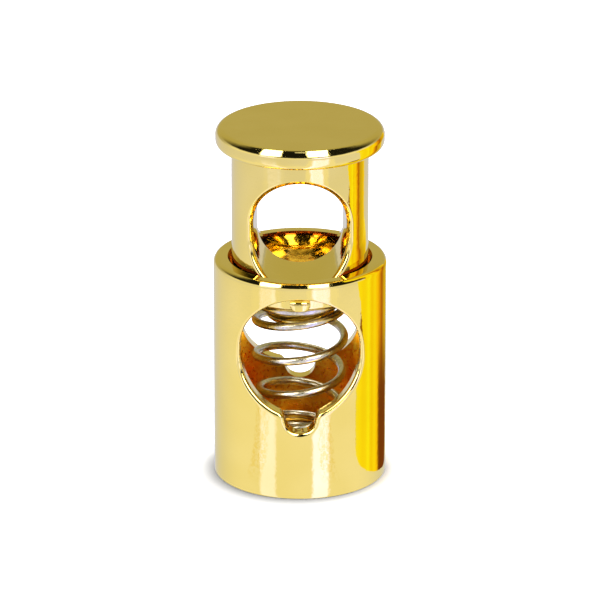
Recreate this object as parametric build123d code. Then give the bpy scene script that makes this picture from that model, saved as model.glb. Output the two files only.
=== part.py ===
"""Spring-loaded one-hole barrel cord lock in gold-plated cast metal.

A plunger slides in a closed-bottom barrel and a coil spring pushes it up. Pressing the cap
brings the eye through the plunger's stem level with the two windows in the barrel, so that a
cord can pass, and letting go pinches the cord against the windows' edges. A small stop pin in
the plunger's foot shows in the front window and keeps the plunger in the barrel.

Millimetres, +Z up, origin at the centre of the barrel's flat base. The cord runs along Y.
"""
from build123d import *
from math import cos, radians, sin, sqrt
import os

# ---- driving dimensions -------------------------------------------------------------------
# Cord eye through the stem, narrowest half-way through and flared by its draft to both mouths
eye_waist_width = 6.4
eye_waist_straight = 0.9
eye_draft_angle = 8.5
mouth_chamfer = 0.3

# Plunger: a flat cap, the stem, its foot and the boss that holds the spring's top coils
stem_side_wall = 1.93
eye_floor_over_pin = 0.714
cap_gap_when_pressed = 0.05
cap_overhang = 1.19
cap_thickness = 1.48
cap_top_round = 0.6
cap_under_round = 0.45
foot_thickness = 1.9
foot_chamfer = 0.15
boss_diameter = 5.3
boss_length = 2.4
boss_chamfer = 0.5

# Barrel
running_clearance = 0.15
barrel_wall = 1.22
barrel_height = 17.1
floor_thickness = 1.6
rim_round = 0.43
rim_lead_in = 0.15
base_chamfer = 0.1

# Windows, one in front and one behind. The front one reaches higher, so the pin can go in
window_radius = 4.45
window_straight = 0.48
back_window_straight = 0.1
band_above_window = 1.2
window_edge_bevel = 0.25
notch_radius = 1.15
notch_depth = 1.3
notch_corner_round = 0.6

# Stop pin
pin_head_width = 1.5
pin_head_height = 0.99
pin_head_setback = 0.37
pin_head_corner = 0.45
pin_head_chamfer = 0.15
pin_head_top_round = 0.35
pin_shank_diameter = 0.4
pin_shank_length = 2.4
pin_shank_below_top = 0.74
pin_hole_end_clearance = 0.1
pin_stop_clearance = 0.03

# Spring
wire_diameter = 0.63
spring_boss_clearance = 0.375
spring_narrowing = 0.28
narrowing_turn = 3.2
spring_turns = 6.6
closed_turns = 1.26
closed_coil_gap = 0.08
pitch_change_turns = 0.4
spring_end_angle = 144.0
spring_seat_clearance = 0.03
wire_sides = 8
points_per_turn = 12

# ---- derived sizes ------------------------------------------------------------------------
stem_radius = eye_waist_width / 2 + stem_side_wall
bore_radius = stem_radius + running_clearance
barrel_radius = bore_radius + barrel_wall
cap_radius = stem_radius + cap_overhang

window_upper_z = barrel_height - band_above_window - window_radius
window_lower_z = window_upper_z - window_straight
notch_centre_z = window_lower_z - window_radius - notch_depth + notch_radius

# The pin's flat top meets the round top of the window at its two upper corners
pin_top_z = window_upper_z + sqrt(window_radius ** 2 - (pin_head_width / 2) ** 2) - pin_stop_clearance
pin_centre_z = pin_top_z - pin_head_height / 2
pin_front_y = pin_head_setback - barrel_radius
pin_shank_z = pin_top_z - pin_shank_below_top

eye_waist_radius = eye_waist_width / 2
eye_waist_height = eye_waist_width + eye_waist_straight
eye_bottom_z = pin_top_z + eye_floor_over_pin
eye_centre_z = eye_bottom_z + eye_waist_height / 2
foot_z = eye_bottom_z - foot_thickness

# Pressed fully, the lower ends of the eye and of the windows are concentric
travel = eye_bottom_z + eye_waist_radius - window_lower_z
cap_under_z = barrel_height + travel + cap_gap_when_pressed
cap_top_z = cap_under_z + cap_thickness

closed_pitch = wire_diameter + closed_coil_gap
spring_upper_radius = boss_diameter / 2 + spring_boss_clearance + wire_diameter / 2
spring_lower_radius = spring_upper_radius - spring_narrowing


def barrel_shell():
    """Round cup: flat base, closed floor and a straight bore with a rounded rim."""
    with BuildPart() as cup:
        Cylinder(barrel_radius, barrel_height, align=(Align.CENTER, Align.CENTER, Align.MIN))
        with Locations((0, 0, floor_thickness)):
            Cylinder(bore_radius, barrel_height - floor_thickness,
                     align=(Align.CENTER, Align.CENTER, Align.MIN), mode=Mode.SUBTRACT)
        circles = cup.edges().filter_by(GeomType.CIRCLE).group_by(Axis.Z)
        rim_edges = circles[-1].sort_by(SortBy.RADIUS)
        fillet(rim_edges[-1], rim_round)
        chamfer(rim_edges[0], rim_lead_in)
        chamfer(circles[0], base_chamfer)
    return cup.part


def window_cutter():
    """Upright oblongs with a small round notch below them, its two inner corners rounded off."""
    with BuildPart() as cutter:
        for side, straight in ((1, window_straight), (-1, back_window_straight)):
            with BuildSketch(Plane.XZ):
                with Locations((0, window_lower_z + straight / 2)):
                    SlotOverall(2 * window_radius + straight, 2 * window_radius, rotation=90)
                with Locations((0, notch_centre_z)):
                    Circle(notch_radius)
            extrude(amount=side * barrel_radius * 2)
        corners = [edge for edge in cutter.edges().filter_by(Axis.Y)
                   if abs(edge.center().X) > notch_radius / 2 and edge.center().Z < notch_centre_z + notch_radius]
        fillet(corners, notch_corner_round)
    return cutter.part


def make_barrel():
    with BuildPart() as barrel:
        add(barrel_shell())
        add(window_cutter(), mode=Mode.SUBTRACT)
        outer_edges = [edge for edge in barrel.edges()
                       if edge.bounding_box().size.Y > 0.01
                       and abs(distance_from_axis(edge @ 0.5) - barrel_radius) < 0.01
                       and rim_clear(edge)]
        chamfer(outer_edges, window_edge_bevel)
    return barrel.part


def distance_from_axis(point):
    return sqrt(point.X ** 2 + point.Y ** 2)


def rim_clear(edge):
    """True for an edge between the base's and the rim's rounded edges."""
    box = edge.bounding_box()
    return box.min.Z > base_chamfer * 2 and box.max.Z < barrel_height - rim_round * 2


def eye_cutter():
    """Upright oblong tunnel along Y, tapered from its waist to both mouths."""
    with BuildPart() as cutter:
        for side in (1, -1):
            with BuildSketch(Plane.XZ):
                with Locations((0, eye_centre_z)):
                    SlotOverall(eye_waist_height, eye_waist_width, rotation=90)
            extrude(amount=side * cap_radius, taper=-eye_draft_angle)
    return cutter.part


def circles_at(body, radius, height):
    return [edge for edge in body.edges().filter_by(GeomType.CIRCLE)
            if abs(edge.radius - radius) < 0.01 and abs(edge.center().Z - height) < 0.01]


def pin_shank(length):
    """Round bar in the front of the stem's foot, from the stem's surface inwards along Y."""
    with BuildPart() as bar:
        with BuildSketch(Plane.XZ.offset(stem_radius)):
            with Locations((0, pin_shank_z)):
                Circle(pin_shank_diameter / 2)
        extrude(amount=-length)
    return bar.part


def make_stop_pin():
    """Pressed-in pin: round shank, and a head with a flat top and rounded lower corners."""
    with BuildPart() as pin:
        with BuildSketch(Plane.XZ):
            with Locations((0, pin_centre_z)):
                Rectangle(pin_head_width, pin_head_height)
        extrude(amount=-pin_front_y)
        lower_edges = pin.edges().filter_by(Axis.Y).group_by(Axis.Z)[0]
        fillet(lower_edges, pin_head_corner)
        front_edges = pin.faces().sort_by(Axis.Y)[0].edges().sort_by(Axis.Z)
        fillet(front_edges[-1], pin_head_top_round)
        front_edges = pin.faces().sort_by(Axis.Y)[0].edges().sort_by(Axis.Z)
        chamfer(front_edges[:-1], pin_head_chamfer)
        Cylinder(stem_radius, barrel_height * 2, mode=Mode.SUBTRACT)
        add(pin_shank(pin_shank_length))
    return pin.part


def make_plunger():
    """Cap, stem and spring boss turned as one piece, with the eye and the pin's hole."""
    with BuildPart() as plunger:
        with BuildSketch(Plane.XZ):
            with BuildLine():
                Polyline((0, cap_top_z), (cap_radius, cap_top_z), (cap_radius, cap_under_z),
                         (stem_radius, cap_under_z), (stem_radius, foot_z), (boss_diameter / 2, foot_z),
                         (boss_diameter / 2, foot_z - boss_length), (0, foot_z - boss_length), close=True)
            make_face()
        revolve(axis=Axis.Z)
        fillet(circles_at(plunger, cap_radius, cap_top_z), cap_top_round)
        fillet(circles_at(plunger, cap_radius, cap_under_z), min(cap_under_round, cap_overhang * 0.8))
        chamfer(circles_at(plunger, stem_radius, foot_z), foot_chamfer)
        chamfer(circles_at(plunger, boss_diameter / 2, foot_z - boss_length), boss_chamfer)
        add(eye_cutter(), mode=Mode.SUBTRACT)
        add(pin_shank(pin_shank_length + pin_hole_end_clearance), mode=Mode.SUBTRACT)
        mouth_edges = [edge for edge in plunger.edges()
                       if abs(distance_from_axis(edge @ 0.5) - stem_radius) < 0.01
                       and edge.geom_type != GeomType.CIRCLE
                       and edge.bounding_box().min.Z > foot_z + foot_thickness / 2]
        chamfer(mouth_edges, mouth_chamfer)
    return plunger.part


def spring_height_at(turn, rise):
    """Rise of the wire's centre line after so many turns, with closed ends and one open pitch."""
    open_pitch = ((rise - closed_pitch * (2 * closed_turns + pitch_change_turns))
                  / (spring_turns - 2 * closed_turns - pitch_change_turns))
    steps = 40
    height = 0
    for step in range(steps):
        here = turn * (step + 0.5) / steps
        from_end = min(here, spring_turns - here)
        share = min(max((from_end - closed_turns) / pitch_change_turns, 0), 1)
        height += (closed_pitch + share * (open_pitch - closed_pitch)) * turn / steps
    return height


def make_spring():
    """Compression spring wound upwards to the right, wider where it clears the plunger's boss."""
    low = floor_thickness + wire_diameter / 2
    rise = foot_z - spring_seat_clearance - wire_diameter / 2 - low
    points = []
    for index in range(round(spring_turns * points_per_turn) + 1):
        turn = spring_turns * index / round(spring_turns * points_per_turn)
        share = min(max(turn - narrowing_turn + 0.5, 0), 1)
        blend = share * share * (3 - 2 * share)
        radius = spring_lower_radius + blend * (spring_upper_radius - spring_lower_radius)
        angle = radians(spring_end_angle + 360 * (turn - spring_turns))
        points.append((radius * cos(angle), radius * sin(angle), low + spring_height_at(turn, rise)))
    path = Spline(points)
    section = Plane(path @ 0, z_dir=path % 0) * RegularPolygon(wire_diameter / 2, wire_sides)
    return sweep(section, path, is_frenet=True)


def write_parts():
    os.makedirs("parts", exist_ok=True)
    pieces = {"barrel": make_barrel(), "plunger": make_plunger(), "spring": make_spring(),
              "stop_pin": make_stop_pin()}
    for name, piece in pieces.items():
        export_step(piece, f"parts/{name}.step")
        print(name, "volume", round(piece.volume, 2))


write_parts()
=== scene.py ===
from math import atan2, cos, hypot, pi, radians, sin, sqrt, tan

import bmesh
import bpy
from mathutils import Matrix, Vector


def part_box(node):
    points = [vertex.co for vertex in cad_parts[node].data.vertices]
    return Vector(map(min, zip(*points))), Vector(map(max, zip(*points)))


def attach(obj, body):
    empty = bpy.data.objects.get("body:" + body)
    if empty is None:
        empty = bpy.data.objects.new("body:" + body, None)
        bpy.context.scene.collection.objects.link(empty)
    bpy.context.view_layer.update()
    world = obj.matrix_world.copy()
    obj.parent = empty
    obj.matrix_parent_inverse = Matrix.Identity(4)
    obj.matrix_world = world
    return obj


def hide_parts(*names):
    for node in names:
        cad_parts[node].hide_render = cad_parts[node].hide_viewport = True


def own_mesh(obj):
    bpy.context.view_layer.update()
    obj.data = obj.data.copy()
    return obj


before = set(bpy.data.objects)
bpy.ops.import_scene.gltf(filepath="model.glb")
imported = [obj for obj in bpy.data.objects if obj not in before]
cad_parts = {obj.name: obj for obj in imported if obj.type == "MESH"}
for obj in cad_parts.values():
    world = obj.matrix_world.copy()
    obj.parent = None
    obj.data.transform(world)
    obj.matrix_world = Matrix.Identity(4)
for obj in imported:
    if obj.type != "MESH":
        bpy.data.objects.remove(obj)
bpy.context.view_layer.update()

MM = 0.001

# Studio. A long lens looks slightly down at the lock, which stands on a white table in a dark
# room. Polished metal mirrors the far table with two brighter streaks, two lamps and a small
# skylight overhead, and a dim olive wall behind. Angles are in degrees, turns from the front.
camera_height = 149.9 * MM
camera_distance = 361.7 * MM
camera_pitch = 20.66
camera_lens = 308.4
camera_sensor = 36
nearest_seen = 10 * MM


def add_object(name, data):
    made = bpy.data.objects.new(name, data)
    bpy.context.scene.collection.objects.link(made)
    return made


camera = add_object("studio_camera", bpy.data.cameras.new("studio_camera"))
camera.location = (0, -camera_distance, camera_height)
camera.rotation_euler = (radians(90 - camera_pitch), 0, 0)
camera.data.sensor_width = camera_sensor
camera.data.lens = camera_lens
camera.data.clip_start = nearest_seen
bpy.context.scene.camera = camera
bpy.context.scene.view_settings.view_transform = "Standard"


class Recipe:
    """Adds nodes to one tree, so that a finish or the room reads as a list of steps."""

    def __init__(self, tree):
        self.tree = tree
        self.tree.nodes.clear()

    def node(self, kind, inputs=(), **settings):
        """A new node with its settings, and a value or a link for each named input."""
        made = self.tree.nodes.new(kind)
        for name, value in settings.items():
            setattr(made, name, value)
        for name, value in dict(inputs).items():
            if isinstance(value, bpy.types.NodeSocket):
                self.tree.links.new(value, made.inputs[name])
            else:
                made.inputs[name].default_value = value
        return made

    def math(self, operation, a, b=0.0):
        return self.node("ShaderNodeMath", {0: a, 1: b}, operation=operation).outputs[0]

    def angle(self, across, ahead):
        """The angle in degrees from the way ahead towards the way across."""
        return self.math("MULTIPLY", self.math("ARCTAN2", across, ahead), 180 / pi)

    def step(self, value, low, high, at_low=0.0, at_high=1.0):
        """Smooth change from at_low to at_high while value goes from low to high."""
        ends = {"Value": value, "From Min": low, "From Max": high, "To Min": at_low, "To Max": at_high}
        return self.node("ShaderNodeMapRange", ends, interpolation_type="SMOOTHSTEP").outputs["Result"]

    def band(self, value, middle, half_width, soft):
        """1 inside middle +- half_width, fading to 0 over soft on both sides."""
        away = self.math("ABSOLUTE", self.math("SUBTRACT", value, middle))
        return self.step(away, half_width, half_width + soft, 1.0, 0.0)

    def two_bands(self, value, middles, half_width, soft):
        return self.math("MAXIMUM", *[self.band(value, middle, half_width, soft) for middle in middles])

    def noise(self, place, scale, detail):
        inputs = {"Vector": place, "Scale": scale, "Detail": detail}
        return self.node("ShaderNodeTexNoise", inputs).outputs["Fac"]

    def mix(self, factor, a, b):
        return self.node("ShaderNodeMix", {"Factor": factor, 6: a, 7: b}, data_type="RGBA").outputs[2]

    def mix_shaders(self, factor, a, b):
        return self.node("ShaderNodeMixShader", {0: factor, 1: a, 2: b}).outputs[0]


white = (1, 1, 1, 1)
plain_table = (1.07, 1.08, 1.22, 1)
table_behind = (0.70, 0.74, 0.92, 1)
left_streak = (1.3, 1.4, 2.75, 1)
right_streak = (1.5, 1.58, 4.1, 1)
lamp_light = (9.0, 9.0, 9.0, 1)
back_wall = (0.54, 0.505, 0.29, 1)
dark_room = (0.012, 0.012, 0.012, 1)
under_board = (0.12, 0.12, 0.12, 1)    # the room as the board sees it by way of the metal
light_from_left = (0.55, 0.55, 0.55, 1)
light_from_right = (1.25, 1.25, 1.25, 1)
right_and_back = 0.65                  # share of each in the direction of the brighter light
light_change = (-0.4, 0.8)
dimming_turn = (80.0, 178.0)           # the table dims from the first to the second
behind_turn = (95.0, 150.0)            # and here the room in front becomes the room behind
streak_turn = (-20.0, 10.0)
left_strip, right_strip, strip_half, strip_soft = -44.0, 28.0, 8.5, 5.0
front_sweep = (10.0, 22.0)             # elevations where the table ends, in front and behind
back_sweep = (-2.0, 6.0)
wall_foot = (0.5, 4.0)
wall_top = (44.0, 58.0)
left_lamp, right_lamp, lamp_half, lamp_soft = -20.5, 12.5, 6.0, 2.0
lamp_spread = 0.936                    # at 0 the lamps would meet overhead, at 1 far behind
lamp_rise = (77.0, 45.0, 3.0)          # middle, half length and soft edge
skylight_width = (0.5, 3.0, 2.0)
skylight_rise = (101.0, 5.0, 3.0)

world = bpy.data.worlds.new("studio_room")
bpy.context.scene.world = world
world.use_nodes = True
room = Recipe(world.node_tree)
direction = room.node("ShaderNodeTexCoord").outputs["Generated"]
to_right, to_back, upward = room.node("ShaderNodeSeparateXYZ", {0: direction}).outputs
to_front = room.math("MULTIPLY", to_back, -1.0)
azimuth = room.angle(to_right, to_front)
elevation = room.math("MULTIPLY", room.math("ARCSINE", upward), 180 / pi)
off_front = room.math("ABSOLUTE", azimuth)
behind = room.step(off_front, *behind_turn)

strips = room.two_bands(azimuth, (left_strip, right_strip), strip_half, strip_soft)
streak = room.mix(room.step(azimuth, *streak_turn), left_streak, right_streak)
far_table = room.mix(room.step(off_front, *dimming_turn), plain_table, table_behind)
table = room.mix(strips, far_table, streak)

wall_part = room.math("MULTIPLY", room.step(elevation, *wall_foot),
                      room.step(elevation, *wall_top, 1.0, 0.0))
wall = room.mix(room.math("MULTIPLY", behind, wall_part), dark_room, back_wall)
overhead = room.angle(upward, to_front)
sideways = room.angle(to_right, room.math("ADD", to_front, lamp_spread))
lamps = room.math("MULTIPLY", room.two_bands(sideways, (left_lamp, right_lamp), lamp_half, lamp_soft),
                  room.band(overhead, *lamp_rise))
skylight = room.math("MULTIPLY", room.band(sideways, *skylight_width), room.band(overhead, *skylight_rise))
above = room.mix(lamps, room.mix(skylight, wall, plain_table), lamp_light)

sweep = room.step(elevation, *front_sweep)
sweep_change = room.math("SUBTRACT", room.step(elevation, *back_sweep), sweep)
sweep = room.math("ADD", sweep, room.math("MULTIPLY", behind, sweep_change))
mirrored = room.mix(sweep, table, above)

from_right = room.math("ADD", room.math("MULTIPLY", to_right, right_and_back),
                       room.math("MULTIPLY", to_back, right_and_back))
soft_light = room.mix(room.step(from_right, *light_change), light_from_left, light_from_right)
rays = room.node("ShaderNodeLightPath").outputs
from_board = room.step(rays["Diffuse Depth"], 0.0, 1.0)
in_metal = room.mix(from_board, mirrored, under_board)
shown = room.mix(rays["Is Glossy Ray"], soft_light, in_metal)
shown = room.mix(rays["Is Camera Ray"], shown, white)
glow = room.node("ShaderNodeBackground", {"Color": shown}).outputs[0]
room.node("ShaderNodeOutputWorld", {"Surface": glow})

# Table. Matt white board, so pale that only the soft shadow round the foot of the lock shows.
# That shadow is partly real and partly painted shade: the board's colour darkens near the lock.
# In polished metal it has the streaks of the two strips nearby, with the grain of the paper in
# them, and is plain white further off.
table_half_width = 2.0
table_drop = 0.01 * MM
shadow_paint_reach = 1.5 * MM               # the painted shadow darkens the floor this near the foot
shadow_paint_range = (0.5, 1.0)
shadow_paint_at_foot = (1.2, 1.2, 1.2, 1)
paint_in_light = (2.3, 2.3, 2.3, 1)
paint_for_light = (0.9, 0.9, 0.9, 1)
streak_fade = (24 * MM, 84 * MM)
streak_width = (14.0, 8.0)
left_reach = 16 * MM                   # the streak on the left reaches a little further out
right_reach = 60 * MM                  # and the one on the right much further
paper_in_front = (0.90, 0.93, 1.3, 1)
paper_behind = (0.68, 0.71, 0.98, 1)
fibre_noise = (1300.0, 2.0)            # scale and detail
fibre_range = (0.4, 0.6)
fibre_colours = ((0.94, 0.85, 0.5, 1), (1.0, 1.0, 1.1, 1))
fibre_width = (6.0, 4.0)
fibre_start = (8 * MM, 14 * MM)


def new_material(name):
    """A material and the recipe that fills it."""
    material = bpy.data.materials.new(name)
    material.use_nodes = True
    return material, Recipe(material.node_tree)


bpy.ops.object.select_all(action="DESELECT")
bpy.ops.mesh.primitive_plane_add(size=2 * table_half_width, location=(0, 0, -table_drop))
floor = bpy.context.object
floor.name = "table_top"
table_white, board = new_material("table_white")
floor.data.materials.append(table_white)
place = board.node("ShaderNodeTexCoord").outputs["Object"]
off_axis = board.node("ShaderNodeVectorMath", {0: place}, operation="LENGTH").outputs["Value"]
board_x, board_y, _ = board.node("ShaderNodeSeparateXYZ", {0: place}).outputs
board_turn = board.angle(board_x, board.math("MULTIPLY", board_y, -1.0))
rays = board.node("ShaderNodeLightPath").outputs

# Painted shadow: for camera rays the board's colour darkens where ambient occlusion finds the lock close
# by.
painted_contact_shadow = board.node("ShaderNodeAmbientOcclusion", {"Distance": shadow_paint_reach}, samples=8).outputs["AO"]
paint = board.mix(board.step(painted_contact_shadow, *shadow_paint_range), shadow_paint_at_foot, paint_in_light)
paint = board.mix(rays["Is Camera Ray"], paint_for_light, paint)
matt = board.node("ShaderNodeBsdfDiffuse", {"Color": paint}).outputs[0]

fibres = board.mix(board.step(board.noise(place, *fibre_noise), *fibre_range), *fibre_colours)
lit_paper = board.math("MULTIPLY", board.two_bands(board_turn, (left_strip, right_strip), *fibre_width),
                       board.step(off_axis, *fibre_start))
near_paper = board.mix(lit_paper, white, fibres)
near_board = board.node("ShaderNodeBsdfTransparent", {"Color": near_paper}).outputs[0]
turned_back = board.step(board.math("ABSOLUTE", board_turn), *dimming_turn)
far_paper = board.mix(turned_back, paper_in_front, paper_behind)
far_board = board.node("ShaderNodeEmission", {"Color": far_paper}).outputs[0]
reach = board.math("MAXIMUM",
                   board.math("MULTIPLY", board.band(board_turn, left_strip, *streak_width), left_reach),
                   board.math("MULTIPLY", board.band(board_turn, right_strip, *streak_width), right_reach))
far_off = board.step(board.math("SUBTRACT", off_axis, reach), *streak_fade)
in_metal = board.mix_shaders(far_off, near_board, far_board)
seen = board.mix_shaders(rays["Is Glossy Ray"], matt, in_metal)
board.node("ShaderNodeOutputMaterial", {"Surface": seen})

# Barrel. Zinc casting, gold plated and polished outside, with the grainy bore left as cast.
# The window in front reaches a little higher than the one behind, and their outer edges are rolled.
_, barrel_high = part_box("barrel")
barrel_radius = barrel_high.x
barrel_height = barrel_high.z
bore_radius = 5.28 * MM
floor_thickness = 1.6 * MM
rim_round = 0.43 * MM
rim_lead_in = 0.15 * MM
base_round = 0.1 * MM
floor_corner = 0.4 * MM
window_radius = 4.45 * MM
window_low_z = 10.97 * MM
window_high_z = 11.45 * MM
back_window_high_z = 11.07 * MM
notch_radius = 1.15 * MM
notch_z = 6.37 * MM
horn_round = 0.6 * MM
sharp_roll = 0.16 * MM                 # over the top of the window, growing to its lower edge
blunt_roll = 0.28 * MM
roll_change = (2 * MM, 5 * MM)         # starts this far above the upper arc's centre, and its length
window_points = (36, 4, 32, 10, 14)    # along the upper arc, side, lower arc, horn and notch
panel_points = (28, 36, 32)            # along the rim, a side and the base, on one side
fillet_rows = 8
panel_rows = 26
wall_rows = 5
row_spacing = 1.35                     # above 1, rows lie closer together near an opening
halvings = 50
same_place = 0.001 * MM
same_radius = 0.02 * MM
merge_distance = 0.002 * MM
smooth_below = 38                      # degrees


def eased(share):
    """A share held between 0 and 1, with a soft start and end."""
    share = min(max(share, 0), 1)
    return share * share * (3 - 2 * share)


def arc(centre, radius, start, end, count, hollow=1):
    """Points of an arc in X and Z, without its last one, each with the way into the metal."""
    points = []
    for step in range(count):
        angle = start + (end - start) * step / count
        way = Vector((cos(angle), sin(angle)))
        points.append((Vector(centre) + radius * way, way * hollow))
    return points


def side_line(x, high, low, count):
    """Points down a straight right side, without the last one."""
    return [(Vector((x, high + (low - high) * step / count)), Vector((1, 0))) for step in range(count)]


def both_sides(half, bottom):
    """A closed outline from its right half, top middle to bottom middle, and its mirror image."""
    right = half + [bottom]
    left = [(Vector((-p.x, p.y)), Vector((-way.x, way.y))) for p, way in reversed(right[1:-1])]
    return right + left


def panel_outline(half_turn, low, high):
    """Border of half a round wall, as angle from the front and height, in step with an opening."""
    across, up, along = panel_points
    half = [(half_turn * step / across, high) for step in range(across)]
    half += [(half_turn, high + (low - high) * step / up) for step in range(up)]
    half += [(half_turn * (1 - step / along), low) for step in range(along)]
    right = half + [(0, low)]
    return right + [(-angle, z) for angle, z in reversed(right[1:-1])]


def rolled_edge(point, way, radius, roll, draft=0.0):
    """Rows of points round the edge where an opening's wall meets the round outside.

    A ball of radius roll rests on the wall, which leans outwards by draft, and on the outside.
    """
    lean = Vector((way.x * cos(draft), sin(draft), way.y * cos(draft)))
    low, high = 0.0, radius
    for _ in range(halvings):
        depth = (low + high) / 2
        spread = depth * tan(draft)
        touch = Vector((point.x + way.x * spread, -depth, point.y + way.y * spread))
        ball = touch + lean * roll
        if hypot(ball.x, ball.y) > radius - roll:
            high = depth
        else:
            low = depth
    outward = Vector((ball.x, ball.y, 0)).normalized()
    turn = (-lean).angle(outward)
    rows = []
    for step in range(fillet_rows + 1):
        part = turn * step / fillet_rows
        way_out = (sin(turn - part) * -lean + sin(part) * outward) / sin(turn)
        rows.append(ball + roll * way_out)
    return rows


def round_wall_rows(start_ring, radius, border, count):
    """Rings on a round wall, from an opening's edge out to the border of the half wall."""
    rings = []
    for row in range(1, count + 1):
        part = (row / count) ** row_spacing
        ring = []
        for start, (angle, z) in zip(start_ring, border):
            from_angle = atan2(start.x, -start.y)
            turn = from_angle + (angle - from_angle) * part
            height = start.z + (z - start.z) * part
            ring.append(Vector((radius * sin(turn), -radius * cos(turn), height)))
        rings.append(ring)
    return rings


def mesh_from_rings(name, rings):
    """A new object whose faces join each closed ring of points to the next."""
    count = len(rings[0])
    points = [point for ring in rings for point in ring]
    faces = []
    for row in range(len(rings) - 1):
        for step in range(count):
            here, after = row * count + step, row * count + (step + 1) % count
            faces.append((here, after, after + count, here + count))
    mesh = bpy.data.meshes.new(name)
    mesh.from_pydata(points, [], faces)
    return add_object(name, mesh)


def select_only(*pieces):
    """Selects these objects and nothing else, with the first one active."""
    bpy.ops.object.select_all(action="DESELECT")
    for piece in pieces:
        piece.select_set(True)
    bpy.context.view_layer.objects.active = pieces[0]


def edit_only(piece):
    select_only(piece)
    bpy.ops.object.mode_set(mode="EDIT")
    bpy.ops.mesh.select_mode(type="EDGE")
    bpy.ops.mesh.select_all(action="DESELECT")


def add_back_half(piece, back):
    """Turns the second half over to the far side of the XZ plane and joins it to the first."""
    back.scale.y = -1
    select_only(piece, back)
    bpy.ops.object.join()
    edit_only(piece)
    bpy.ops.mesh.select_all(action="SELECT")
    bpy.ops.mesh.remove_doubles(threshold=merge_distance)
    bpy.ops.mesh.select_all(action="DESELECT")


def select_edges(piece, wanted):
    """Selects the edges whose ends pass the test, in edit mode."""
    form = bmesh.from_edit_mesh(piece.data)
    for edge in form.edges:
        edge.select_set(wanted(edge))
    bmesh.update_edit_mesh(piece.data)


def turn_from_loop(piece, radius, z, profile, fill=False):
    """Extrudes the open loop at that radius and height along (radius, height) steps."""
    def on_loop(edge):
        return edge.is_boundary and all(
            abs(v.co.z - z) < same_place and abs(hypot(v.co.x, v.co.y) - radius) < same_radius
            for v in edge.verts)

    select_edges(piece, on_loop)
    for next_radius, next_z in profile:
        bpy.ops.mesh.extrude_region_move(TRANSFORM_OT_translate={"value": (0, 0, next_z - z)})
        scale = next_radius / radius
        bpy.ops.transform.resize(value=(scale, scale, 1), center_override=(0, 0, next_z))
        radius, z = next_radius, next_z
    if fill:
        bpy.ops.mesh.edge_face_add()
    bpy.ops.mesh.select_all(action="DESELECT")


def quarter(centre_radius, centre_z, radius, start, end, count=8):
    """Profile points of a rounded corner, after its first one, angles in degrees from outwards."""
    angles = [radians(start + (end - start) * step / count) for step in range(1, count + 1)]
    return [(centre_radius + radius * cos(angle), centre_z + radius * sin(angle)) for angle in angles]


def close_up(piece, smooth=smooth_below):
    """Merges what meets, turns the faces outwards and smooths all but the real corners."""
    bpy.ops.mesh.select_all(action="SELECT")
    bpy.ops.mesh.remove_doubles(threshold=merge_distance)
    bpy.ops.mesh.normals_make_consistent(inside=False)
    bpy.ops.object.mode_set(mode="OBJECT")
    bpy.ops.object.shade_smooth_by_angle(angle=radians(smooth))


# A horn stands on each side of the notch: an arc that touches the window's lower arc and the notch.
horn_reach = window_radius + horn_round
notch_reach = notch_radius + horn_round
drop = window_low_z - notch_z
horn_dz = (horn_reach ** 2 - notch_reach ** 2 + drop ** 2) / (2 * drop)
horn_x = sqrt(horn_reach ** 2 - horn_dz ** 2)
horn_z = window_low_z - horn_dz
to_horn = atan2(horn_z - window_low_z, horn_x)
notch_to_horn = atan2(horn_z - notch_z, horn_x)


def window_roll(z):
    """The edge is sharper over the top of the window than round its lower half."""
    above_centre, length = roll_change
    share = eased((window_high_z + above_centre - z) / length)
    return sharp_roll + share * (blunt_roll - sharp_roll)


def half_shell(name, high_z):
    """Half of the barrel's wall with its window, whose upper arc is centred at high_z."""
    half = (arc((0, high_z), window_radius, pi / 2, 0, window_points[0])
            + side_line(window_radius, high_z, window_low_z, window_points[1])
            + arc((0, window_low_z), window_radius, 0, to_horn, window_points[2])
            + arc((horn_x, horn_z), horn_round, to_horn + pi, notch_to_horn + pi, window_points[3], -1)
            + arc((0, notch_z), notch_radius, notch_to_horn, -pi / 2, window_points[4]))
    outline = both_sides(half, (Vector((0, notch_z - notch_radius)), Vector((0, -1))))
    edge_rows = list(zip(*[rolled_edge(p, way, barrel_radius, window_roll(p.y)) for p, way in outline]))
    bore_edge = [Vector((p.x, -sqrt(bore_radius ** 2 - p.x ** 2), p.y)) for p, way in outline]
    window_wall = [[inner.lerp(outer, row / wall_rows) for inner, outer in zip(bore_edge, edge_rows[0])]
                   for row in range(wall_rows)]
    bore_border = panel_outline(pi / 2, floor_thickness + floor_corner, barrel_height - rim_lead_in)
    outer_border = panel_outline(pi / 2, base_round, barrel_height - rim_round)
    bore_wall = round_wall_rows(bore_edge, bore_radius, bore_border, panel_rows)
    outer_wall = round_wall_rows(edge_rows[-1], barrel_radius, outer_border, panel_rows)
    return mesh_from_rings(name, bore_wall[::-1] + window_wall + edge_rows + outer_wall)


barrel = half_shell("barrel_shell", window_high_z)
add_back_half(barrel, half_shell("barrel_back", back_window_high_z))
turn_from_loop(barrel, barrel_radius, barrel_height - rim_round,
               quarter(barrel_radius - rim_round, barrel_height - rim_round, rim_round, 0, 90)
               + [(bore_radius + rim_lead_in, barrel_height), (bore_radius, barrel_height - rim_lead_in)])
turn_from_loop(barrel, barrel_radius, base_round,
               quarter(barrel_radius - base_round, base_round, base_round, 0, -90, 5)
               + [(barrel_radius - 2 * base_round, 0)], fill=True)
turn_from_loop(barrel, bore_radius, floor_thickness + floor_corner,
               quarter(bore_radius - floor_corner, floor_thickness + floor_corner, floor_corner, 0, -90, 5)
               + [(bore_radius - 2 * floor_corner, floor_thickness)], fill=True)
close_up(barrel)

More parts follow.
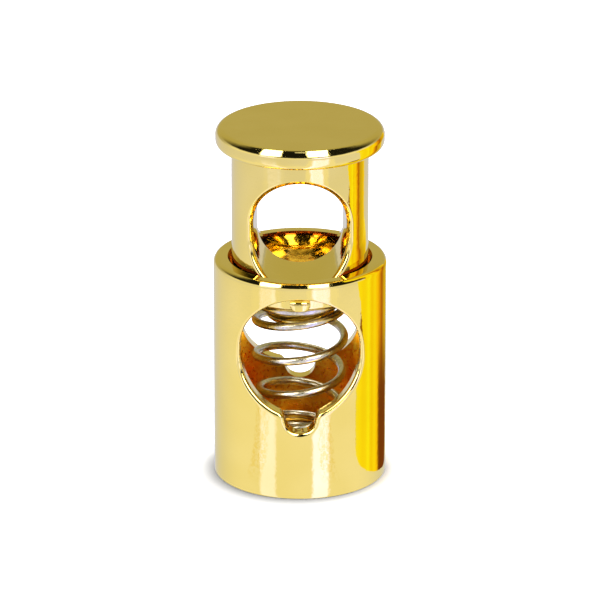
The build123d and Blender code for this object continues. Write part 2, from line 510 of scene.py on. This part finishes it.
# The plate: polished gold with a hardly seen ripple and slow changes of colour.
ripple_noise = (1900.0, 2.0)
ripple_strength = 0.45
ripple_height = 0.02 * MM
swell_noise = (260.0, 1.0)
swell_range = (0.3, 0.7)
plate_colours = ((0.82, 0.635, 0.165, 1), (0.85, 0.665, 0.19, 1))
plate_tint = (1.0, 0.98, 0.88, 1)
plate_roughness = (0.045, 0.065)
gold, plate = new_material("polished_gold_plate")
place = plate.node("ShaderNodeTexCoord").outputs["Object"]
ripple = plate.node("ShaderNodeBump", {"Strength": ripple_strength, "Distance": ripple_height,
                                       "Height": plate.noise(place, *ripple_noise)}).outputs[0]
swell = plate.noise(place, *swell_noise)
metal = plate.node("ShaderNodeBsdfPrincipled", {
    "Metallic": 1.0, "Specular Tint": plate_tint, "Normal": ripple,
    "Base Color": plate.mix(plate.step(swell, *swell_range), *plate_colours),
    "Roughness": plate.step(swell, *swell_range, *plate_roughness)}).outputs[0]
plate.node("ShaderNodeOutputMaterial", {"Surface": metal})

# The bore: rough, orange gold, smoother and yellower near the top, and at its very lip painted dark
# red-brown as shade in the gap round the stem.
grain_noise = (4200.0, 4.0)
grain_range = (0.3, 0.7)
patch_noise = (700.0, 2.0)
patch_range = (0.35, 0.65)
fleck_range = (0.38, 0.56)
dent_noise = (1300.0, 1.0)
pit_strength = 0.36
pit_height = 0.04 * MM
throat_start = (12.5 * MM, 14.5 * MM)
grain_lost, dents_gained, polish_gained = 0.8, 3.0, 0.2    # in the throat
lip_shade_start = (barrel_height - 2.5 * rim_lead_in, barrel_height - 1.5 * rim_lead_in)
patch_colours = ((0.95, 0.46, 0.03, 1), (1.0, 0.66, 0.09, 1))
fleck_colour = (0.9, 0.43, 0.03, 1)
throat_colour = (0.86, 0.58, 0.08, 1)
lip_shade_colour = (0.3, 0.07, 0.015, 1)
bore_tint = (1.0, 0.7, 0.2, 1)
bore_roughness = (0.26, 0.4)
cast, bore = new_material("as_cast_gold_bore")
place = bore.node("ShaderNodeTexCoord").outputs["Object"]
bore_z = bore.node("ShaderNodeSeparateXYZ", {0: place}).outputs["Z"]
throat = bore.step(bore_z, *throat_start)
grain = bore.noise(place, *grain_noise)
grain_left = bore.math("SUBTRACT", 1.0, bore.math("MULTIPLY", throat, grain_lost))
dents = bore.math("MULTIPLY", bore.noise(place, *dent_noise), bore.math("MULTIPLY", throat, dents_gained))
relief = bore.math("ADD", bore.math("MULTIPLY", grain, grain_left), dents)
pits = bore.node("ShaderNodeBump", {"Strength": pit_strength, "Distance": pit_height,
                                    "Height": relief}).outputs[0]
as_cast = bore.mix(bore.step(bore.noise(place, *patch_noise), *patch_range), *patch_colours)
as_cast = bore.mix(bore.step(grain, *fleck_range), fleck_colour, as_cast)
as_cast = bore.mix(throat, as_cast, throat_colour)
# Painted shade: the lip of the bore turns dark red-brown, where the gap round the stem lies in shadow.
as_cast = bore.mix(bore.step(bore_z, *lip_shade_start), as_cast, lip_shade_colour)
dull = bore.math("SUBTRACT", bore.step(grain, *grain_range, *bore_roughness),
                 bore.math("MULTIPLY", throat, polish_gained))
metal = bore.node("ShaderNodeBsdfPrincipled", {
    "Metallic": 1.0, "Specular Tint": bore_tint, "Normal": pits,
    "Base Color": as_cast, "Roughness": dull}).outputs[0]
bore.node("ShaderNodeOutputMaterial", {"Surface": metal})

on_wall = 0.005 * MM
on_floor = 0.01 * MM
barrel.data.materials.append(gold)
barrel.data.materials.append(cast)
for face in barrel.data.polygons:
    off_axis, z = hypot(face.center.x, face.center.y), face.center.z
    inside = off_axis < bore_radius + on_wall and z > floor_thickness - on_floor
    lead_in = off_axis < bore_radius + rim_lead_in and z > barrel_height - rim_lead_in
    face.material_index = 1 if inside or lead_in else 0
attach(barrel, "barrel")
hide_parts("barrel")

# Plunger. One plated casting: a mushroom cap, a round stem with the cord eye through it, and
# a boss under its foot. The eye leans outwards from its waist to both mouths, as cast on cores.
plunger_low, plunger_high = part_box("plunger")
cap_radius = plunger_high.x
cap_top = plunger_high.z
cap_thickness = 1.48 * MM
cap_under = cap_top - cap_thickness
cap_top_round = 0.62 * MM
cap_under_round = 0.49 * MM
cap_flat_radius = cap_radius - 1.4 * cap_top_round
stem_radius = 5.13 * MM
foot_round = 0.15 * MM
boss_radius = 2.65 * MM
boss_length = 2.4 * MM
boss_round = 0.6 * MM
boss_flat_radius = boss_radius - 1.3 * boss_round
foot = plunger_low.z + boss_length
eye_radius = 3.2 * MM
eye_height = 7.3 * MM
eye_bottom = foot + 1.9 * MM
eye_low_z = eye_bottom + eye_radius
eye_high_z = eye_bottom + eye_height - eye_radius
eye_draft = radians(8.5)
mouth_round = 0.18 * MM
mouth_growth = 0.7                     # the mouth's edge is this much rounder on the eye's floor
bell_depth = 0.38 * MM                 # the mouths open out like a bell, except along the floor
bell_pinch = 0.17 * MM
bell_reach = 0.15 * MM
sharp_edge = mouth_round / 50
bend_start, bend_end = 0.92, 0.4       # shares of the wall and of the bell that the bend reaches
wall_parts = (0, 0.03, 0.08, 0.2, 0.4, 0.6, 0.8)
bend_parts = (0, 0.2, 0.4, 0.6, 0.8, 1)
eye_points = (42, 10, 44)              # along the upper arc, a side and the lower arc

eye_half = (arc((0, eye_high_z), eye_radius, pi / 2, 0, eye_points[0])
            + side_line(eye_radius, eye_high_z, eye_low_z, eye_points[1])
            + arc((0, eye_low_z), eye_radius, 0, -pi / 2, eye_points[2]))
eye_outline = both_sides(eye_half, (Vector((0, eye_bottom)), Vector((0, -1))))


def bell_mouth(point, way):
    """Points from the waist of the eye out to the stem, along the drafted wall and over the bell."""
    low = max(0, -way.y)
    bell = 1 - low ** 2
    edge = -rolled_edge(point + way * bell_reach * bell, way, stem_radius, sharp_edge, eye_draft)[-1].y
    depth = edge - bell_depth
    spread = depth * tan(eye_draft) - bell_pinch * bell
    slope = (edge * tan(eye_draft) + bell_reach * bell - spread) / bell_depth
    waist = Vector((point.x, 0, point.y))
    start = Vector((point.x + way.x * spread, -depth, point.y + way.y * spread))
    in_line = point + way * (spread - depth * slope)
    rows = rolled_edge(in_line, way, stem_radius, mouth_round * (1 + mouth_growth * low), atan2(slope, 1))
    before, after = waist.lerp(start, bend_start), start.lerp(rows[0], bend_end)
    bend = [before.lerp(start, part).lerp(start.lerp(after, part), part) for part in bend_parts]
    return [waist.lerp(start, part) for part in wall_parts] + bend + rows


tunnel = list(zip(*[bell_mouth(p, way) for p, way in eye_outline]))
stem_border = panel_outline(pi / 2, foot + foot_round, cap_under)
stem_rings = tunnel + round_wall_rows(tunnel[-1], stem_radius, stem_border, panel_rows)
plunger = mesh_from_rings("plunger_body", stem_rings)
add_back_half(plunger, mesh_from_rings("plunger_back", stem_rings))
turn_from_loop(plunger, stem_radius, cap_under,
               [(cap_radius - cap_under_round, cap_under)]
               + quarter(cap_radius - cap_under_round, cap_under + cap_under_round, cap_under_round,
                         -90, 0, 10)
               + [(cap_radius, cap_top - cap_top_round)]
               + quarter(cap_radius - cap_top_round, cap_top - cap_top_round, cap_top_round, 0, 90, 14)
               + [(cap_flat_radius, cap_top), (cap_radius / 2, cap_top)], fill=True)
turn_from_loop(plunger, stem_radius, foot + foot_round,
               quarter(stem_radius - foot_round, foot + foot_round, foot_round, 0, -90, 4)
               + [(boss_radius, foot), (boss_radius, plunger_low.z + boss_round)]
               + quarter(boss_radius - boss_round, plunger_low.z + boss_round, boss_round, 0, -90, 8)
               + [(boss_flat_radius, plunger_low.z)], fill=True)
close_up(plunger)
plunger.data.materials.append(gold)
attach(plunger, "plunger")
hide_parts("plunger")

# Twin. Out of view beside the lock stand copies of its barrel and plunger, which are not lit but glow
# with a painted reflection, gold seen in gold, darker near the foot, so the lock's right flank
# shows a deep yellow streak. Only mirror rays meet these copies.
twin_distance = 13.6 * MM
twin_turn = (-85.0, 60.0)              # degrees round the twin, from its front to its back
painted_glow_colours = ((-85, (0.35, 0.15, 0.01)), (-77, (0.6, 0.38, 0.02)), (-70, (1.15, 1.12, 0.12)),
                (-48, (1.15, 1.06, 0.02)), (-41, (1.13, 0.97, 0.02)), (-35, (1.13, 1.00, 0.02)),
                (-30, (1.17, 1.20, 0.03)), (-25, (1.08, 0.84, 0.01)), (-20, (1.15, 1.02, 0.02)),
                (-16, (1.14, 0.76, 0.01)), (-11, (0.75, 0.30, 0.01)), (-8, (0.45, 0.14, 0.01)),
                (-3, (0.72, 0.45, 0.02)), (5, (0.78, 0.60, 0.02)), (16, (1.0, 0.75, 0.02)),
                (60, (1.1, 1.05, 0.2)))
dark_glow_near_foot = (0.2, 0.055, 0.01, 1)     # a painted dark reflection near its foot
dark_glow_fade = (6 * MM, 13 * MM)
dark_glow_width = (-3.0, 9.0, 5.0)
twin_glow_material, shade = new_material("painted_gold_reflection_glow")
place = shade.node("ShaderNodeTexCoord").outputs["Object"]
twin_x, twin_y, twin_z = shade.node("ShaderNodeSeparateXYZ", {0: place}).outputs
turned = shade.angle(twin_y, shade.math("MULTIPLY", twin_x, -1.0))
span = twin_turn[1] - twin_turn[0]
along = shade.math("DIVIDE", shade.math("SUBTRACT", turned, twin_turn[0]), span)
ramp = shade.node("ShaderNodeValToRGB", {0: along})
while len(ramp.color_ramp.elements) < len(painted_glow_colours):
    ramp.color_ramp.elements.new(0.5)
for stop, (at, colour) in zip(ramp.color_ramp.elements, painted_glow_colours):
    stop.position = (at - twin_turn[0]) / span
    stop.color = (*colour, 1)
dark_glow_mask = shade.math("MULTIPLY", shade.step(twin_z, *dark_glow_fade, 1.0, 0.0), shade.band(turned, *dark_glow_width))
seen = shade.mix(dark_glow_mask, ramp.outputs[0], dark_glow_near_foot)
# The copies are no lamps: they glow with these painted colours, a painted reflection of gold in gold.
painted_glow = shade.node("ShaderNodeEmission", {"Color": seen}).outputs[0]
shade.node("ShaderNodeOutputMaterial", {"Surface": painted_glow})
for original in (barrel, plunger):
    twin = add_object("twin_" + original.name, original.data.copy())
    twin.location.x = twin_distance
    for slot in range(len(twin.data.materials)):
        twin.data.materials[slot] = twin_glow_material
    twin.visible_camera = twin.visible_diffuse = twin.visible_shadow = False

# Stop pin. Plated brass, pressed into the foot of the plunger through the front window. Its
# flat-topped head rides up against the top of the window and keeps the plunger in the barrel.
pin_low, pin_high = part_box("stop_pin")
pin_middle_z = (pin_low.z + pin_high.z) / 2
head_half_width = pin_high.x
head_depth = 0.95 * MM
pin_corner = 0.45 * MM
pin_top_round = 0.55 * MM
pin_edge_round = 0.15 * MM
pin_dome = 0.2 * MM
pin_slices = 7                         # in each half, so that the face can be domed
bpy.ops.object.select_all(action="DESELECT")
bpy.ops.mesh.primitive_cube_add(size=1)
pin = bpy.context.object
pin.name = "stop_pin_head"
edit_only(pin)
bpy.ops.mesh.select_all(action="SELECT")
bpy.ops.transform.resize(value=(2 * head_half_width, head_depth, pin_high.z - pin_low.z))
bpy.ops.transform.translate(value=(0, pin_low.y + head_depth / 2, pin_middle_z))
bpy.ops.mesh.select_all(action="DESELECT")


def bevel_pin(width, segments, wanted):
    """Rounds the pin head's edges whose two ends pass the test."""
    select_edges(pin, lambda edge: wanted(*[v.co for v in edge.verts]))
    bpy.ops.mesh.bevel(offset=width, segments=segments)
    bpy.ops.mesh.select_all(action="DESELECT")


def across_the_bottom(a, b):
    return max(a.z, b.z) < pin_middle_z and abs(a.y - b.y) > head_depth / 2


def round_the_face(a, b):
    return max(abs(a.y - pin_low.y), abs(b.y - pin_low.y)) < same_place


def on_face_top(a, b):
    return round_the_face(a, b) and min(a.z, b.z) > pin_high.z - same_place


def on_face_side(a, b):
    level_above = min(a.z, b.z) > pin_middle_z and abs(a.z - b.z) < same_place
    return round_the_face(a, b) and not level_above


bevel_pin(pin_corner, 8, across_the_bottom)
bevel_pin(pin_top_round, 12, on_face_top)
bevel_pin(pin_edge_round, 5, on_face_side)
for cut in range(1 - pin_slices, pin_slices):
    bpy.ops.mesh.select_all(action="SELECT")
    bpy.ops.mesh.bisect(plane_co=(cut * head_half_width / pin_slices, 0, 0), plane_no=(1, 0, 0))
form = bmesh.from_edit_mesh(pin.data)
for vert in form.verts:
    if vert.co.y < pin_low.y + head_depth / 2:
        vert.co.y += pin_dome * (vert.co.x / head_half_width) ** 2
bmesh.update_edit_mesh(pin.data)
close_up(pin)
pin.data.materials.append(gold)
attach(pin, "plunger")
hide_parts("stop_pin")

# Spring. Bright drawn steel wire, coiled upwards to the right on two diameters, with closed
# ends: the lower coils stand on the floor of the bore and the top ones sit round the boss.
wire_radius = 0.63 / 2 * MM
upper_coil_radius = 3.34 * MM
lower_coil_radius = 3.06 * MM
narrowing_turn = 3.2                   # counted from below, halfway between the two diameters
spring_turns = 6.6
closed_turns = 1.26                    # at each end
pitch_change = 0.4                     # turns over which the coils open
closed_pitch = 0.71 * MM
foot_gap = 0.03 * MM
end_angle = radians(144)
points_per_turn = 48
wire_sides = 5
spring_smooth_below = 50               # degrees
low_z = floor_thickness + wire_radius
rise = foot - foot_gap - wire_radius - low_z
half_open_turns = 2 * closed_turns + pitch_change
open_pitch = (rise - closed_pitch * half_open_turns) / (spring_turns - half_open_turns)
total_points = round(spring_turns * points_per_turn)
spring_curve = bpy.data.curves.new("coil_spring", "CURVE")
spring_curve.dimensions = "3D"
spring_curve.bevel_depth = wire_radius
spring_curve.bevel_resolution = wire_sides
spring_curve.use_fill_caps = True
route = spring_curve.splines.new("POLY")
route.points.add(total_points)
z = low_z
for index in range(total_points + 1):
    turn = spring_turns * index / total_points
    swing = eased(turn - narrowing_turn + 0.5)
    radius = lower_coil_radius + swing * (upper_coil_radius - lower_coil_radius)
    angle = end_angle + 2 * pi * (turn - spring_turns)
    route.points[index].co = (radius * cos(angle), radius * sin(angle), z, 1)
    middle_turn = spring_turns * (index + 0.5) / total_points
    from_end = min(middle_turn, spring_turns - middle_turn)
    openness = min(max((from_end - closed_turns) / pitch_change, 0), 1)
    z += (closed_pitch + openness * (open_pitch - closed_pitch)) * spring_turns / total_points
spring = add_object("coil_spring", spring_curve)
select_only(spring)
bpy.ops.object.convert(target="MESH")
spring = bpy.context.object
edit_only(spring)
close_up(spring, spring_smooth_below)

draw_noise = (4200.0, 3.0)
draw_range = (0.35, 0.65)
draw_strength = 0.25
draw_height = 0.02 * MM
steel_colours = ((0.54, 0.48, 0.32, 1), (0.67, 0.61, 0.44, 1))
steel_roughness = 0.27
steel, wire = new_material("drawn_spring_steel")
lines = wire.noise(wire.node("ShaderNodeTexCoord").outputs["Object"], *draw_noise)
drawn = wire.node("ShaderNodeBump", {"Strength": draw_strength, "Distance": draw_height,
                                     "Height": lines}).outputs[0]
metal = wire.node("ShaderNodeBsdfPrincipled", {
    "Metallic": 1.0, "Roughness": steel_roughness, "Normal": drawn,
    "Base Color": wire.mix(wire.step(lines, *draw_range), *steel_colours)}).outputs[0]
wire.node("ShaderNodeOutputMaterial", {"Surface": metal})
spring.data.materials.append(steel)
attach(spring, "barrel")
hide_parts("spring")
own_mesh(spring)
